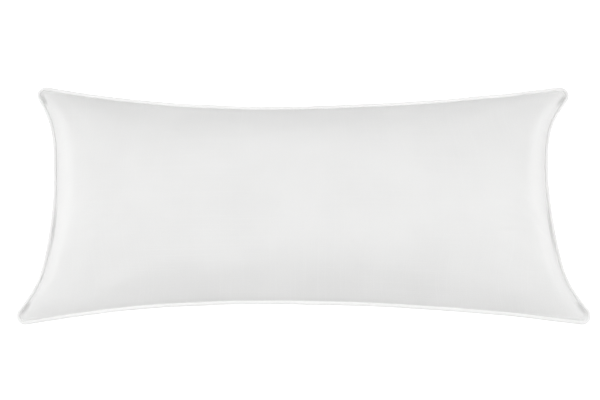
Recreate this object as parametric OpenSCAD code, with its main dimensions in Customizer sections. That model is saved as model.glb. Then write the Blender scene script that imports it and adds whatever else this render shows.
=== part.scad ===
// Bed pillow: two cotton panels sewn together round a corded edge and stuffed with loose fibre.
// The frame: X along the length, Y across, Z up; the origin is on the resting face, under the middle.

/* [Pillow] */
// Length of the filled pillow between the seam's corners
seam_length = 874; // [780:2:960]
// Width of the filled pillow between the seam's corners
seam_width = 384; // [340:2:430]
// Height of the seam above the surface the pillow rests on
seam_height = 76; // [66:1:84]
// Rise of the upper face above the seam
top_crown = 86; // [70:1:100]
// Drop of the lower face below the seam, before the resting surface flattens it
bottom_crown = 89; // [86:1:100]

/* [Outline] */
// How far each long side pulls in at its waist
side_pull = 34.5; // [20:0.5:42]
// How far the left end pulls in at its waist
left_pull = 45; // [25:0.5:54]
// How far the right end pulls in at its waist
right_pull = 53; // [25:0.5:54]
// Place of the long sides' waist along the length
side_waist_x = -60; // [-100:5:100]
// Place of the left end's waist across the width
left_waist_y = -10; // [-50:5:50]
// Place of the right end's waist across the width
right_waist_y = 10; // [-50:5:50]
// Radius of the seam round each corner
corner_r = 9.5; // [9.5:0.5:16]

/* [Cloth] */
// Thickness of the panels' cloth
cloth_t = 0.5; // [0.4:0.05:0.6]
// Thickness of the strip that wraps the cord
strip_t = 0.4; // [0.3:0.05:0.5]
// Width of cloth turned in behind the seam
allowance = 8; // [7:0.5:8.5]

/* [Piping] */
// Diameter of the finished piping
piping_d = 5.6; // [5:0.1:6]
// Slack between the filler cord and its strip, all round
cord_slack = 0.2; // [0.1:0.05:0.3]

/* [Stitching] */
// Diameter of the seam's threads and the closing thread
seam_thread_d = 0.4; // [0.3:0.05:0.45]
// Diameter of the threads that close the strip round the cord
cord_thread_d = 0.26; // [0.2:0.02:0.3]
// Length of one closing stitch
closing_stitch_l = 4; // [3:0.5:5]
// Distance from one closing stitch to the next
closing_pitch = 6.5; // [6:0.5:8]
// Number of closing stitches
closing_count = 28; // [10:2:28]

/* [Hidden] */

panel_cells = [20, 18];         // cells of a panel between its corners, along X and Y
corner_cells = 3;               // cells from a corner arc's middle to its end
strip_facets = 11;              // facets of the strip round the cord
arc_facets = 360;               // facets of a full turn on the closing stitches
thread_facets = 16;             // facets round a closing stitch
air = 0.05;                     // air between layers that are pressed together
fold_gap = 0.5;                 // from the seam to the fold of each panel
fill_gap = 0.4;                 // from the panels to the filling
fill_start = corner_cells + 1;  // first of the panels' stations that the filling reaches

// Layers of the seam, as heights above its middle
strip_z = air + strip_t;        // outer face of each half of the folded strip
layer_z = strip_z + cord_thread_d + air;
stack_z = layer_z + cloth_t;    // far face of the turned-in cloth

piping_r = piping_d / 2;
cord_r = piping_r - strip_t - cord_slack;
cord_line = -1.6;               // from the seam to the stitches that close the strip
seam_line = -3;                 // from the seam to the stitches that join the layers
overlock_w = 3.2;               // how far the overlock reaches in from the raw edge
overlock_t = 0.35;              // thickness of the overlock's threads
gutter_x = 0.15;                // place of the closing stitches, between panel and piping
gutter_z = 1.7;

// ---- The seam: eight shallow arcs that curve inwards and four corner arcs, each tangent to the next ----

// Sides and the corners that end them go round from the right end: right, far, left, near
corners = [for (way = [[1, 1], [-1, 1], [-1, -1], [1, -1]])
    [way.x * (seam_length / 2 - corner_r), way.y * (seam_width / 2 - corner_r)]];
waists = [[seam_length / 2 - right_pull, right_waist_y], [side_waist_x, seam_width / 2 - side_pull],
          [left_pull - seam_length / 2, left_waist_y], [side_waist_x, side_pull - seam_width / 2]];

// An arc is [centre, radius, first heading, last heading, bulge]. A heading is the angle of the outward
// direction, and bulge is 1 where the seam curves outwards and -1 where it curves inwards.
function unit(angle) = [cos(angle), sin(angle)];
function near_turn(angle, target) = angle + 360 * round((target - angle) / 360);
function heading(from, to, near) = near_turn(atan2(to.y - from.y, to.x - from.x), near);

// The inward arc that leaves a waist square to its side and runs on into a corner arc
function waist_r(side, corner) = let (d = waists[side] - corner)
    (d * d - corner_r * corner_r) / (2 * (corner_r - d * unit(90 * side)));
function waist_centre(side, corner) = waists[side] + waist_r(side, corner) * unit(90 * side);
function leaving(side, corner) = heading(corner, waist_centre(side, corner), 90 * side);

function arc_in(side) = let (c = corners[(side + 3) % 4])
    [waist_centre(side, c), waist_r(side, c), leaving(side, c), 90 * side, -1];
function arc_out(side) = let (c = corners[side])
    [waist_centre(side, c), waist_r(side, c), 90 * side, leaving(side, c), -1];
function arc_corner(side) = let (c = corners[side])
    [c, corner_r, leaving(side, c), near_turn(leaving((side + 1) % 4, c), 90 * (side + 1)), 1];

function arc_length(arc) = arc[1] * abs(arc[3] - arc[2]) * PI / 180;
function arc_point(arc, part, out) = let (angle = arc[2] + part * (arc[3] - arc[2]))
    arc[0] + (arc[4] * arc[1] + out) * unit(angle);
function arc_stretch(arc, from, to) = let (turn = (arc[3] - arc[2]) / arc_length(arc))
    [arc[0], arc[1], arc[2] + from * turn, arc[2] + to * turn, arc[4]];
function first_half(arc) = arc_stretch(arc, 0, arc_length(arc) / 2);
function second_half(arc) = arc_stretch(arc, arc_length(arc) / 2, arc_length(arc));

// One side runs from the middle of one corner to the middle of the next
side_arcs = [for (side = [0:3]) [second_half(arc_corner((side + 3) % 4)), arc_in(side),
                                 arc_out(side), first_half(arc_corner(side))]];
function total(values, i = 0) = i < len(values) ? values[i] + total(values, i + 1) : 0;
side_lengths = [for (arcs = side_arcs) total([for (arc = arcs) arc_length(arc)])];

function walk(arcs, distance, out, i = 0) = let (length = arc_length(arcs[i]))
    distance <= length || i == len(arcs) - 1
        ? arc_point(arcs[i], distance / length, out)
        : walk(arcs, distance - length, out, i + 1);
function side_point(side, s, out) = walk(side_arcs[side], (s + 1) / 2 * side_lengths[side], out);

// ---- The faces: a plan stretched between the four sides, and a crown over it ----

function spread(n) = [for (i = [0:n]) sin(90 * (2 * i / n - 1))];
// Stations along a side, with extra ones round its corners
function stations(n, side) =
    let (bend = 2 * arc_length(side_arcs[side][3]) / side_lengths[side],
         tip = [for (i = [0:corner_cells - 1]) 1 - bend * i / corner_cells])
    concat(-tip, (1 - bend) * spread(n), [for (i = [corner_cells - 1:-1:0]) tip[i]]);
panel_stations = [stations(panel_cells.x, 3), stations(panel_cells.y, 0)];
fill_stations = [for (at = panel_stations) [for (i = [fill_start:len(at) - 1 - fill_start]) at[i]]];

function plan(at, out) =
    let (near = [for (u = at[0]) side_point(3, u, out)], far = [for (u = at[0]) side_point(1, -u, out)],
         left = [for (v = at[1]) side_point(2, -v, out)], right = [for (v = at[1]) side_point(0, v, out)],
         tip = [for (side = [0:3]) side_point(side, 1, out)])
    [for (j = [0:len(at[1]) - 1], i = [0:len(at[0]) - 1])
        let (a = (at[0][i] + 1) / 2, b = (at[1][j] + 1) / 2)
        (1 - b) * near[i] + b * far[i] + (1 - a) * left[j] + a * right[j]
        - (1 - b) * ((1 - a) * tip[2] + a * tip[3]) - b * ((1 - a) * tip[1] + a * tip[0])];
function crown(u, v) = sqrt(max(0, 1 - u * u)) * pow(max(0, 1 - v * v), 0.6);

// A face of the pillow, or of a layer `depth` under it. Its rim lies at the height `rim_z`.
function upper_face(at, depth, rise, rim_z) = let (p = plan(at, -fold_gap - depth), n = len(at[0]))
    [for (k = [0:len(p) - 1]) let (c = crown(at[0][k % n], at[1][floor(k / n)]))
        [p[k].x, p[k].y, seam_height + (c > 0 ? layer_z + (rise - layer_z) * c - depth : rim_z)]];
// The resting surface flattens the lower face, and the layers above it keep their distance from it
function lower_face(at, depth, drop, rim_z) = [for (p = upper_face(at, depth, drop, rim_z))
    [p.x, p.y, max(2 * seam_height - p.z, depth)]];

// ---- Meshes over a grid of stations ----

function grid_size(at) = len(at[0]) * len(at[1]);
function grid_rim(at) = let (m = len(at[0]), n = len(at[1])) concat(
    [for (i = [0:m - 2]) i], [for (j = [0:n - 2]) j * m + m - 1],
    [for (i = [m - 1:-1:1]) (n - 1) * m + i], [for (j = [n - 1:-1:1]) j * m]);
function shifted(ids, start) = [for (k = ids) start + k];
function flip(faces) = [for (f = faces) [f[2], f[1], f[0]]];
function grid_faces(at) = let (m = len(at[0])) [for (j = [0:len(at[1]) - 2], i = [0:m - 2])
    let (a = j * m + i, b = a + 1, c = b + m, d = a + m) each [[a, c, b], [a, d, c]]];
function shifted_faces(faces, start) = [for (f = faces) shifted(f, start)];
function strip_faces(low, high) = [for (i = [0:len(low) - 1]) let (k = (i + 1) % len(low))
    each [[low[i], high[k], low[k]], [low[i], high[i], high[k]]]];

// The seam as the panels' rims see it: a point and the outward direction at every station
rim_order = grid_rim(panel_stations);
seam_points = let (p = plan(panel_stations, 0)) [for (k = rim_order) p[k]];
seam_outward = let (p = plan(panel_stations, 1))
    [for (i = [0:len(rim_order) - 1]) p[rim_order[i]] - seam_points[i]];
function seam_loop(out, height) = [for (i = [0:len(seam_points) - 1])
    let (p = seam_points[i] + out * seam_outward[i]) [p.x, p.y, seam_height + height]];

// A panel: its outer face, the turned-in allowance, the raw edge and the inner face
module panel(outer, inner, way) {
    size = grid_size(panel_stations);
    rim_size = len(rim_order);
    faces = grid_faces(panel_stations);
    near_ids = [for (i = [0:rim_size - 1]) 2 * size + i];
    far_ids = shifted(near_ids, rim_size);
    all_faces = concat(faces, flip(shifted_faces(faces, size)), strip_faces(near_ids, rim_order),
                       strip_faces(far_ids, near_ids), strip_faces(shifted(rim_order, size), far_ids));
    points = concat(outer, inner, seam_loop(-allowance, way * layer_z), seam_loop(-allowance, way * stack_z));
    polyhedron(points, way > 0 ? all_faces : flip(all_faces));
}

// A closed sweep round the seam. The section's X runs outwards from the seam and its Y upwards.
module along_seam(section) {
    n = len(section);
    rings = len(seam_points);
    loops = [for (q = section) seam_loop(q.x, q.y)];
    ids = [for (k = [0:n - 1]) [for (i = [0:rings - 1]) k * rings + i]];
    faces = [for (k = [0:n - 1]) each strip_faces(ids[k], ids[(k + 1) % n])];
    polyhedron([for (loop = loops) each loop], faces);
}

function round_section(out, height, r, sides) =
    [for (i = [0:sides - 1]) [out, height] + r * unit(360 * (i + 0.5) / sides)];

// A needle thread and a bobbin thread lie on the two outer faces of the layers that they join
module stitch_line(out, face, d) {
    for (way = [-1, 1]) along_seam(round_section(out, way * (face + d / 2), d / 2, 4));
}

// ---- The sub-parts ----

module top_panel() {
    color("white") panel(upper_face(panel_stations, 0, top_crown, layer_z),
                         upper_face(panel_stations, cloth_t, top_crown, stack_z), 1);
}

module bottom_panel() {
    color("white") panel(lower_face(panel_stations, 0, bottom_crown, layer_z),
                         lower_face(panel_stations, cloth_t, bottom_crown, stack_z), -1);
}

// The strip is folded over the cord, so its section is a loop with two flat legs
module piping_cover() {
    inner_r = piping_r - strip_t;
    outer_start = asin(strip_z / piping_r);
    inner_start = asin(air / inner_r);
    outer_arc = [for (i = [0:strip_facets]) [piping_r, 0]
        + piping_r * unit(180 + outer_start + i * (360 - 2 * outer_start) / strip_facets)];
    inner_arc = [for (i = [0:strip_facets]) [piping_r, 0]
        + inner_r * unit(180 - inner_start - i * (360 - 2 * inner_start) / strip_facets)];
    section = concat([[-allowance, -strip_z]], outer_arc, [[-allowance, strip_z]],
                     [[-allowance, air]], inner_arc, [[-allowance, -air]]);
    color("whitesmoke") along_seam(section);
}

module piping_cord() {
    color("ivory") along_seam(round_section(piping_r, 0, cord_r, 10));
}

module fill() {
    depth = cloth_t + fill_gap;
    size = grid_size(fill_stations);
    rim = grid_rim(fill_stations);
    faces = grid_faces(fill_stations);
    points = concat(upper_face(fill_stations, depth, top_crown, stack_z),
                    lower_face(fill_stations, depth, bottom_crown, stack_z));
    color("snow") polyhedron(points, concat(faces, flip(shifted_faces(faces, size)),
                                            strip_faces(shifted(rim, size), rim)));
}

module seam_stitching() {
    color("gainsboro") stitch_line(seam_line, stack_z + air, seam_thread_d);
}

module cord_stitching() {
    color("gainsboro") stitch_line(cord_line, strip_z + air / 2, cord_thread_d);
}

// The overlock wraps the raw edges of all the layers
module overlock_stitching() {
    edge = -allowance - air;
    face = stack_z + air;
    color("gainsboro") along_seam([
        [edge - overlock_t, -face - overlock_t], [edge + overlock_w, -face - overlock_t],
        [edge + overlock_w, -face], [edge, -face], [edge, face], [edge + overlock_w, face],
        [edge + overlock_w, face + overlock_t], [edge - overlock_t, face + overlock_t]]);
}

// Hand stitches close the gap at the right end's waist, in the gutter below the piping
module closing_stitching() {
    arcs = side_arcs[0];
    color("gainsboro") for (i = [0:closing_count - 1]) {
        start = (i - closing_count / 2) * closing_pitch + (closing_pitch - closing_stitch_l) / 2;
        arc = start < 0 ? arcs[1] : arcs[2];
        from = start < 0 ? arc_length(arc) + start : start;
        stitch = arc_stretch(arc, from, from + closing_stitch_l);
        translate([arc[0].x, arc[0].y, seam_height - gutter_z])
            rotate([0, 0, 180 + min(stitch[2], stitch[3])])
                rotate_extrude(angle = abs(stitch[3] - stitch[2]), $fn = arc_facets)
                    translate([arc[1] - gutter_x, 0]) circle(d = seam_thread_d, $fn = thread_facets);
    }
}

top_panel();
bottom_panel();
piping_cover();
piping_cord();
fill();
seam_stitching();
cord_stitching();
overlock_stitching();
closing_stitching();
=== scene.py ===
"""Bed pillow: two plain-woven cotton panels joined by a corded seam and stuffed with loose fibre.

Everything is in metres, in the model's own frame: X along the length, Y across, Z up, and the
origin on the resting surface under the middle of the pillow.
"""
import logging
import math
from dataclasses import dataclass, field
from enum import Enum
from typing import Callable, Iterator

import bmesh
import bpy
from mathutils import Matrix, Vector, kdtree, noise


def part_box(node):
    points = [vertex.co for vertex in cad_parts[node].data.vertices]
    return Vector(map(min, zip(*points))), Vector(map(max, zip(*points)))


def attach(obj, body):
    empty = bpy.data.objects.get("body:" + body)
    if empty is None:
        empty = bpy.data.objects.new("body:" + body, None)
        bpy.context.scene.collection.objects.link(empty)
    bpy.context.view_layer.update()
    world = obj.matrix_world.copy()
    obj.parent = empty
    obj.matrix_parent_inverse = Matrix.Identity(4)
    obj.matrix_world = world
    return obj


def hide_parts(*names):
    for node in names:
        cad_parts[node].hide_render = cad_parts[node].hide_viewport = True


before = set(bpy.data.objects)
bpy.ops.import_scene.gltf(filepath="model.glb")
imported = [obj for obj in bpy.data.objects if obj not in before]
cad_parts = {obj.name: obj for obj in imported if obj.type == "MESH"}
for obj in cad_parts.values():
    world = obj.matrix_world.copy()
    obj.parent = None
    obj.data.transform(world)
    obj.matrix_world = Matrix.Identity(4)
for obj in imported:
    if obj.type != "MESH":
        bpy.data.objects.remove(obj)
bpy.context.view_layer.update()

MM = 0.001
TURN = 2 * math.pi
FLAT = Vector((1.0, 1.0, 0.0))
UP = Vector((0.0, 0.0, 1.0))
SHARP = math.radians(55)
# Shares of a tube's radius: points closer than the first are one point, and the second draws the
# ring at an open tube's end together.
SAME_POINT = 0.02
CLOSED_TIP = 2.2
LOG = logging.getLogger("pillow")


class Side(Enum):
    """The pillow's sides, in the order that the seam runs round them."""

    RIGHT = 0
    FAR = 1
    LEFT = 2
    NEAR = 3


# ---- The seam ----


@dataclass(frozen=True)
class Arc:
    """An arc of the seam: its bulge is 1 where it curves outwards and -1 where it curves in."""

    centre: Vector
    radius: float
    first: float
    last: float
    bulge: int

    def length(self) -> float:
        """Return the length along the arc."""
        return self.radius * abs(self.last - self.first)

    def point(self, part: float, out: float) -> Vector:
        """Return a point of the arc.

        Args:
            part: the share of the arc's length before the point.
            out: how far the point lies outside the seam.

        Returns:
            The point, in the seam's own plane.
        """
        angle = self.first + part * (self.last - self.first)
        reach = self.bulge * self.radius + out
        return self.centre + reach * Vector((math.cos(angle), math.sin(angle)))

    def stretch(self, start: float, end: float) -> "Arc":
        """Cut a shorter arc out of this one.

        Args:
            start: the distance along the arc at which the shorter one starts.
            end: the distance at which it ends.

        Returns:
            The shorter arc.
        """
        turn = (self.last - self.first) / self.length()
        first, last = self.first + start * turn, self.first + end * turn
        return Arc(self.centre, self.radius, first, last, self.bulge)


@dataclass(frozen=True)
class Waves:
    """A sum of sine waves that closes up round the seam: each wave's share, count and phase."""

    parts: tuple[tuple[float, int, float], ...]

    def at(self, turn: float) -> float:
        """Return the sum of the waves at an angle round the seam."""
        return sum(share * math.sin(count * turn + phase) for share, count, phase in self.parts)


SIDEWAYS = Waves(((0.25, 5, 1.0), (0.15, 13, 2.4), (0.1, 29, 0.3)))
UPWARDS = Waves(((0.8, 4, 0.6), (0.6, 9, 4.0), (0.3, 23, 1.9)))


@dataclass
class SeamPath:
    """A closed line of tangent arcs: four tight corners, and four sides that curve inwards.

    The pull of a side is how far its waist lies inside the line from corner to corner. Sway is the
    size of the seam's small waves, and flare how far the ends bow out between their ears.
    """

    length: float = 874 * MM
    width: float = 384 * MM
    corner_r: float = 9.5 * MM
    pulls: tuple[float, ...] = (53 * MM, 34.5 * MM, 45 * MM, 34.5 * MM)
    waists: tuple[float, ...] = (10 * MM, -60 * MM, -10 * MM, -60 * MM)
    height: float = 76 * MM
    sway: float = 0.0
    flare: float = 0.0
    ear_flare: float = 1.3
    ear_shift: float = 1.6
    crowding: float = 0.3
    sides: list[list[Arc]] = field(init=False, default_factory=list)
    lengths: list[float] = field(init=False, default_factory=list)

    def __post_init__(self) -> None:
        """Work out the arcs of the four sides, each from one corner's middle to the next."""
        half_l, half_w = self.length / 2, self.width / 2
        corners = [Vector((x * (half_l - self.corner_r), y * (half_w - self.corner_r)))
                   for x, y in ((1, 1), (-1, 1), (-1, -1), (1, -1))]
        pulls, at = self.pulls, self.waists
        waists = [Vector((half_l - pulls[0], at[0])), Vector((at[1], half_w - pulls[1])),
                  Vector((pulls[2] - half_l, at[2])), Vector((at[3], pulls[3] - half_w))]

        def inward_arc(side: int, corner: Vector) -> tuple[Vector, float, float]:
            """Fit the arc that leaves a waist straight and meets a corner's arc without a kink.

            Args:
                side: the side's number.
                corner: the centre of the corner's arc.

            Returns:
                The arc's centre, its radius, and its heading where it meets the corner.
            """
            square = math.pi / 2 * side
            outward = Vector((math.cos(square), math.sin(square)))
            run = waists[side] - corner
            radius = (run.dot(run) - self.corner_r ** 2) / (2 * (self.corner_r - run.dot(outward)))
            centre = waists[side] + radius * outward
            away = centre - corner
            heading = math.atan2(away.y, away.x)
            return centre, radius, heading + TURN * round((square - heading) / TURN)

        def corner_arc(side: int) -> Arc:
            """Fit the arc round a corner between its two sides.

            Args:
                side: the number of the side that ends at the corner.

            Returns:
                The arc.
            """
            first = inward_arc(side, corners[side])[2]
            last = inward_arc((side + 1) % 4, corners[side])[2]
            last += TURN * round((math.pi / 2 * (side + 1) - last) / TURN)
            return Arc(corners[side], self.corner_r, first, last, 1)

        for side in range(4):
            square = math.pi / 2 * side
            centre_in, radius_in, heading_in = inward_arc(side, corners[side - 1])
            centre_out, radius_out, heading_out = inward_arc(side, corners[side])
            before, after = corner_arc((side + 3) % 4), corner_arc(side)
            arcs = [before.stretch(before.length() / 2, before.length()),
                    Arc(centre_in, radius_in, heading_in, square, -1),
                    Arc(centre_out, radius_out, square, heading_out, -1),
                    after.stretch(0, after.length() / 2)]
            self.sides.append(arcs)
            self.lengths.append(sum(arc.length() for arc in arcs))

    def walk(self, side: int, s: float, out: float) -> Vector:
        """Return a point of a side, in the seam's plane.

        Args:
            side: the side's number.
            s: the place along the side, from -1 to 1.
            out: how far the point lies outside the seam.

        Returns:
            The point.
        """
        arcs = self.sides[side]
        distance = (s + 1) / 2 * self.lengths[side]
        for arc in arcs[:-1]:
            if distance <= arc.length():
                return arc.point(distance / arc.length(), out)
            distance -= arc.length()
        return arcs[-1].point(distance / arcs[-1].length(), out)

    def distance(self, side: int, s: float) -> float:
        """Return the distance along the whole seam to a point of a side."""
        return sum(self.lengths[:side]) + (s + 1) / 2 * self.lengths[side]

    def perimeter(self) -> float:
        """Return the length of the whole seam."""
        return sum(self.lengths)

    def place(self, side: int, s: float, out: float = 0.0, up: float = 0.0) -> Vector:
        """Return a point beside the seam.

        Args:
            side: the side's number.
            s: the place along the side, from -1 to 1.
            out: how far the point lies outside the seam.
            up: how far it lies above the seam.

        Returns:
            The point, in the model's frame.
        """
        turn = self.distance(side, s) / self.perimeter() * TURN
        drift = self.sway * SIDEWAYS.at(turn)
        lift = self.sway * UPWARDS.at(turn)
        if side in (Side.RIGHT.value, Side.LEFT.value):
            near_ear = math.sin(math.pi * abs(s) ** self.ear_shift) ** 2
            drift += self.flare * (math.cos(math.pi * s / 2) ** 2 - self.ear_flare * near_ear)
        flat = self.walk(side, s, out + drift)
        return Vector((flat.x, flat.y, self.height + lift + up))

    def outward(self, side: int, s: float) -> Vector:
        """Return the unit vector that points out of the pillow at a point of a side."""
        return (self.walk(side, s, 1.0) - self.walk(side, s, 0.0)).to_3d()

    def corner_share(self, side: int) -> float:
        """Return the share of a side's parameter that one of its half corners takes up."""
        return 2 * self.sides[side][3].length() / self.lengths[side]

    def stations(self, side: int, cells: int, corner_cells: int) -> list[float]:
        """Return places along a side that crowd together towards its corners.

        Args:
            side: the side's number.
            cells: the number of cells between the corner arcs.
            corner_cells: the number of cells round each half corner.

        Returns:
            The places, from -1 to 1.
        """
        bend = self.corner_share(side)
        tip = [1 - bend * i / corner_cells for i in range(corner_cells)]
        middle = []
        for i in range(cells + 1):
            t = 2 * i / cells - 1
            crowded = t + self.crowding * math.sin(math.pi * t) / math.pi
            middle.append((1 - bend) * crowded)
        return [-t for t in tip] + middle + tip[::-1]

    def round_trip(self, spacing: float, corner_cells: int = 6) -> list[tuple[int, float]]:
        """Return stations all the way round the seam, closer together round the corners.

        Args:
            spacing: the distance between stations along the sides.
            corner_cells: the number of cells round each half corner.

        Returns:
            The side and the place along it of each station.
        """
        trip: list[tuple[int, float]] = []
        for side in range(4):
            bend = self.corner_share(side)
            cells = max(8, round(self.lengths[side] * (1 - bend) / spacing))
            tip = [1 - bend * i / corner_cells for i in range(corner_cells)]
            straight = [(1 - bend) * (2 * i / cells - 1) for i in range(cells + 1)]
            trip += [(side, s) for s in [-t for t in tip] + straight + tip[::-1][:-1]]
        return trip

    def even_trip(self, count: int) -> list[tuple[int, float]]:
        """Return stations at equal distances all the way round the seam.

        Args:
            count: the number of stations.

        Returns:
            The side and the place along it of each station.
        """
        trip = []
        for i in range(count):
            distance = self.perimeter() * i / count
            side = 0
            while distance > self.lengths[side]:
                distance -= self.lengths[side]
                side += 1
            trip.append((side, 2 * distance / self.lengths[side] - 1))
        return trip


@dataclass(frozen=True)
class Ripple:
    """Smooth random unevenness: its size, and how finely it varies from place to place."""

    size: float
    scale: float
    offset: tuple[float, float, float] = (0.0, 0.0, 0.0)

    def at(self, point: Vector) -> float:
        """Return the unevenness at a point, from about -size to size."""
        return self.size * noise.noise(point * self.scale + Vector(self.offset))


# ---- Mesh helpers ----

Place = Callable[[int, int], Vector]


def lay_grid(bm: bmesh.types.BMesh, columns: int, rows: int, place: Place,
             unrolled: Callable[[int, int], tuple[float, float]]) -> list[bmesh.types.BMVert]:
    """Create a grid of cells and put each of its corners in place.

    Args:
        bm: the mesh that gets the grid.
        columns: the number of cells along the grid's first direction.
        rows: the number of cells along its second direction.
        place: gives the point for a column and row number.
        unrolled: gives the cloth's own flat coordinates for a column and row number.

    Returns:
        The grid's vertices.
    """
    made = bmesh.ops.create_grid(bm, x_segments=columns, y_segments=rows, size=0.5)["verts"]
    assert len(made) == (columns + 1) * (rows + 1)
    index = {v: (round((v.co.x + 0.5) * columns), round((v.co.y + 0.5) * rows)) for v in made}
    uv = bm.loops.layers.uv.verify()
    for face in {f for v in made for f in v.link_faces}:
        for loop in face.loops:
            loop[uv].uv = unrolled(*index[loop.vert])
    for v in made:
        v.co = place(*index[v])
    return made


def lay_tube(bm: bmesh.types.BMesh, line: list[Vector], lean: list[Vector], radii: list[float],
             sides: int, closed: bool) -> None:
    """Sweep a round section along a line of points.

    Args:
        bm: the mesh that gets the tube.
        line: the points of the centreline.
        lean: for each point, a direction that isn't along the line.
        radii: for each point, the section's radius.
        sides: the number of the section's sides.
        closed: True for a ring, False for a tube whose ends are drawn together.
    """
    count = len(line)
    first: list[Vector] = []
    second: list[Vector] = []
    for i in range(count):
        ahead = line[(i + 1) % count] if closed or i + 1 < count else line[i]
        behind = line[i - 1] if closed or i > 0 else line[i]
        along = (ahead - behind).normalized()
        across = (lean[i] - lean[i].dot(along) * along).normalized()
        first.append(across)
        second.append(along.cross(across))

    def place(i: int, j: int) -> Vector:
        """Return a point of the tube's surface.

        Args:
            i: the station along the tube.
            j: the corner of its section.

        Returns:
            The point.
        """
        i %= count
        angle = TURN * (j % sides) / sides
        return line[i] + radii[i] * (math.cos(angle) * first[i] + math.sin(angle) * second[i])

    travelled = [0.0]
    for i in range(count):
        travelled.append(travelled[-1] + (line[(i + 1) % count] - line[i]).length)
    girth = TURN * max(radii)
    made = lay_grid(bm, count if closed else count - 1, sides, place,
                    lambda i, j: (travelled[i], girth * j / sides))
    reach = SAME_POINT if closed else CLOSED_TIP
    bmesh.ops.remove_doubles(bm, verts=made, dist=min(radii) * reach)


def new_piece(name: str, bm: bmesh.types.BMesh, outward: bool = True) -> bpy.types.Object:
    """Turn a finished bmesh into an object of the scene.

    Args:
        name: the piece's name.
        bm: the bmesh, which is freed.
        outward: True where the mesh is a closed surface whose faces are to be turned outwards.

    Returns:
        The new object.
    """
    if outward:
        bmesh.ops.recalc_face_normals(bm, faces=bm.faces)
    for face in bm.faces:
        face.smooth = True
    for edge in bm.edges:
        edge.smooth = len(edge.link_faces) != 2 or edge.calc_face_angle(0.0) < SHARP
    mesh = bpy.data.meshes.new(name)
    bm.to_mesh(mesh)
    bm.free()
    piece = bpy.data.objects.new(name, mesh)
    bpy.context.scene.collection.objects.link(piece)
    return piece


def baked_mesh(piece: bpy.types.Object) -> bpy.types.Mesh:
    """Return a copy of the piece's mesh with its modifiers applied."""
    graph = bpy.context.evaluated_depsgraph_get()
    return bpy.data.meshes.new_from_object(piece.evaluated_get(graph), depsgraph=graph)


def drop(piece: bpy.types.Object) -> None:
    """Remove a helper object and its mesh from the file.

    Args:
        piece: the helper.
    """
    mesh = piece.data
    bpy.data.objects.remove(piece)
    bpy.data.meshes.remove(mesh)


# ---- Finishes ----


class NodeGroup:
    """A shader node group that is built once and placed in each material with its own values."""

    def __init__(self, name: str, inputs: dict[str, tuple[str, float]],
                 outputs: dict[str, str]) -> None:
        """Create the group with its sockets.

        Args:
            name: the group's name.
            inputs: for each input, its kind and its first value.
            outputs: for each output, its kind.
        """
        self.tree = bpy.data.node_groups.new(name, "ShaderNodeTree")
        for label, (kind, value) in inputs.items():
            socket = self.tree.interface.new_socket(label, in_out="INPUT",
                                                    socket_type=f"NodeSocket{kind}")
            if kind == "Float":
                socket.default_value = value
        for label, kind in outputs.items():
            self.tree.interface.new_socket(label, in_out="OUTPUT",
                                           socket_type=f"NodeSocket{kind}")
        self.source = self.tree.nodes.new("NodeGroupInput")
        self.sink = self.tree.nodes.new("NodeGroupOutput")


def link(tree: bpy.types.NodeTree, source: object, target: bpy.types.NodeSocket) -> None:
    """Connect a socket to another, or set a plain value on it.

    Args:
        tree: the node tree.
        source: a socket or a plain value.
        target: the socket that gets it.
    """
    if isinstance(source, bpy.types.NodeSocket):
        tree.links.new(source, target)
    else:
        target.default_value = source


def maths(tree: bpy.types.NodeTree, operation: str, *values: object) -> bpy.types.NodeSocket:
    """Add a Math node.

    Args:
        tree: the node tree.
        operation: the Math node's operation.
        values: sockets or numbers for its inputs.

    Returns:
        The node's output socket.
    """
    node = tree.nodes.new("ShaderNodeMath")
    node.operation = operation
    for value, socket in zip(values, node.inputs):
        link(tree, value, socket)
    return node.outputs[0]


def cloud(tree: bpy.types.NodeTree, vector: object, scale: float, detail: float = 3.0,
          roughness: float = 0.5) -> bpy.types.NodeSocket:
    """Add a Noise Texture node.

    Args:
        tree: the node tree.
        vector: the socket with the pattern's place.
        scale: the noise's scale.
        detail: its number of octaves.
        roughness: how much the finer octaves count.

    Returns:
        The node's factor.
    """
    node = tree.nodes.new("ShaderNodeTexNoise")
    link(tree, vector, node.inputs["Vector"])
    node.inputs["Scale"].default_value = scale
    node.inputs["Detail"].default_value = detail
    node.inputs["Roughness"].default_value = roughness
    return node.outputs[0]


def ranged(tree: bpy.types.NodeTree, value: object, low: float, high: float, to_low: float,
           to_high: float) -> bpy.types.NodeSocket:
    """Add a clamped Map Range node.

    Args:
        tree: the node tree.
        value: the socket with the value.
        low: the value that becomes to_low.
        high: the value that becomes to_high.
        to_low: the result at low.
        to_high: the result at high.

    Returns:
        The node's result.
    """
    node = tree.nodes.new("ShaderNodeMapRange")
    for socket, entry in zip(node.inputs[:5], (value, low, high, to_low, to_high)):
        link(tree, entry, socket)
    return node.outputs[0]


def stretched(tree: bpy.types.NodeTree, vector: object, scale: tuple[float, float, float],
              turn: float = 0.0) -> bpy.types.NodeSocket:
    """Add a Mapping node that scales and turns a pattern.

    Args:
        tree: the node tree.
        vector: the socket with the pattern's place.
        scale: the scale along each axis.
        turn: the turn about the third axis, in radians.

    Returns:
        The node's vector.
    """
    node = tree.nodes.new("ShaderNodeMapping")
    link(tree, vector, node.inputs["Vector"])
    node.inputs["Scale"].default_value = scale
    node.inputs["Rotation"].default_value = (0.0, 0.0, turn)
    return node.outputs[0]


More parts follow.
